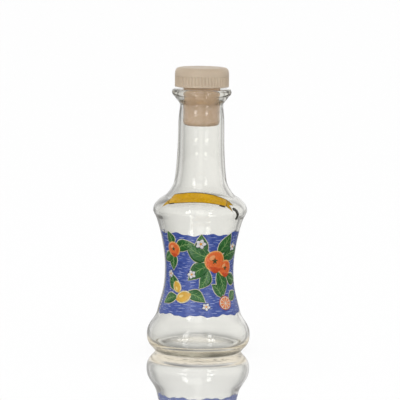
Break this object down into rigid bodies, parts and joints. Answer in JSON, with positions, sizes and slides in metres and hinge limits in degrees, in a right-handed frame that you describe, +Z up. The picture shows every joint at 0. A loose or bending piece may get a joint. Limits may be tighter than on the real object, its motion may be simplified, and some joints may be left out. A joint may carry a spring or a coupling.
{
  "type": "glass carafe",
  "caption": "Small waisted glass carafe with a bulging foot, a round shoulder, a long neck, a flared beaded lip and a ribbed bar-top stopper that lifts out.",
  "frame": {"origin": "centre of the foot's bearing ring, on the surface the carafe stands on", "axes": "+Z up along the carafe's axis of revolution; +X and +Y level"},
  "size_m": [0.053, 0.053, 0.1463],
  "materials": {
    "clear_glass": "clear moulded glass, faintly warm",
    "beige_plastic": "satin moulded plastic",
    "tan_elastomer": "smooth synthetic cork"
  },
  "bodies": {
    "bottle": {"glass_bottle": "clear_glass"},
    "stopper": {"stopper_head": "beige_plastic", "stopper_plug": "tan_elastomer"}
  },
  "joints": [
    {"name": "stopper_lift", "type": "slide", "parent": "bottle", "child": "stopper", "axis": [0, 0, 1], "range_m": [0, 0.026]}
  ]
}
